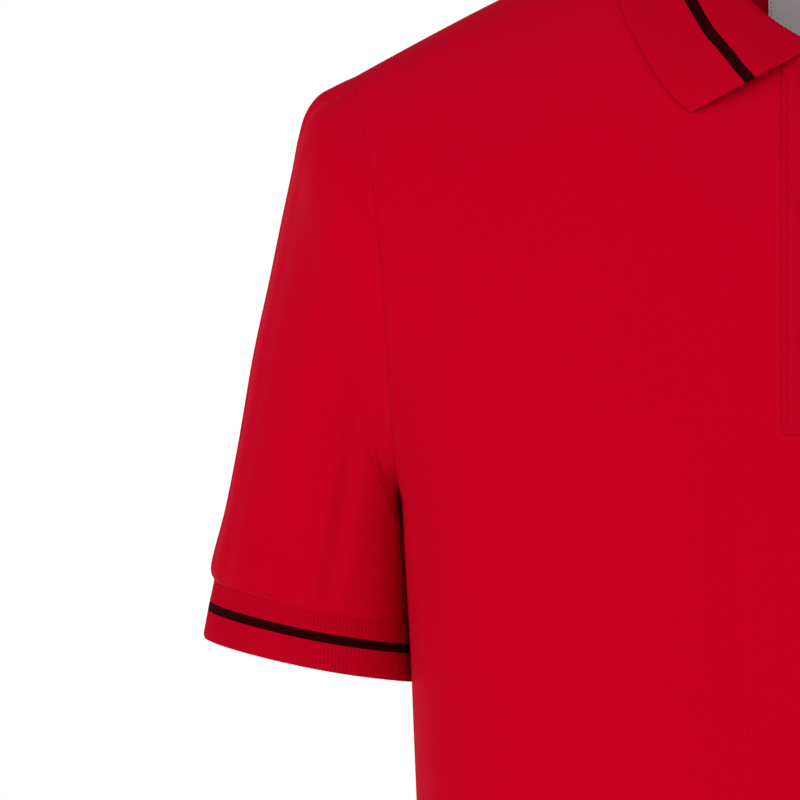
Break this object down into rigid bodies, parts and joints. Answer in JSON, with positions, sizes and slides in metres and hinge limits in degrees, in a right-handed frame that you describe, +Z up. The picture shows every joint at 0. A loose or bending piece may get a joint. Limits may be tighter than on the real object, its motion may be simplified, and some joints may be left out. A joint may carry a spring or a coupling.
{
  "type": "polo shirt",
  "caption": "Short-sleeved polo shirt, filled out and hollow, with a folded rib collar, buttoned placket and ribbed cuffs tipped with a dark stripe.",
  "frame": {"origin": "midway between the two high shoulder points, where the shoulder seams meet the neck seam", "axes": "+Z up along the wearer's height, -Y out of the chest, +X to the wearer's left"},
  "size_m": [0.5668, 0.2315, 0.7248],
  "materials": {
    "body_pique": "cotton pique knit, red, matt",
    "sleeve_pique": "cotton pique knit, red, matt",
    "rib_knit": "flat-knit rib, red with one dark tipping stripe",
    "placket_pique": "cotton pique knit over a fused band, red",
    "label_satin": "woven satin, light grey, blank",
    "button_resin": "cast polyester resin, dyed to match"
  },
  "bodies": {
    "root": {"front_body": "body_pique", "back_body": "body_pique", "sleeve_right": "sleeve_pique", "sleeve_left": "sleeve_pique", "cuff_right": "rib_knit", "cuff_left": "rib_knit", "collar": "rib_knit", "placket_top": "placket_pique", "placket_under": "placket_pique", "neck_label": "label_satin", "button_1": "button_resin", "button_2": "button_resin", "button_3": "button_resin"}
  },
  "joints": []
}
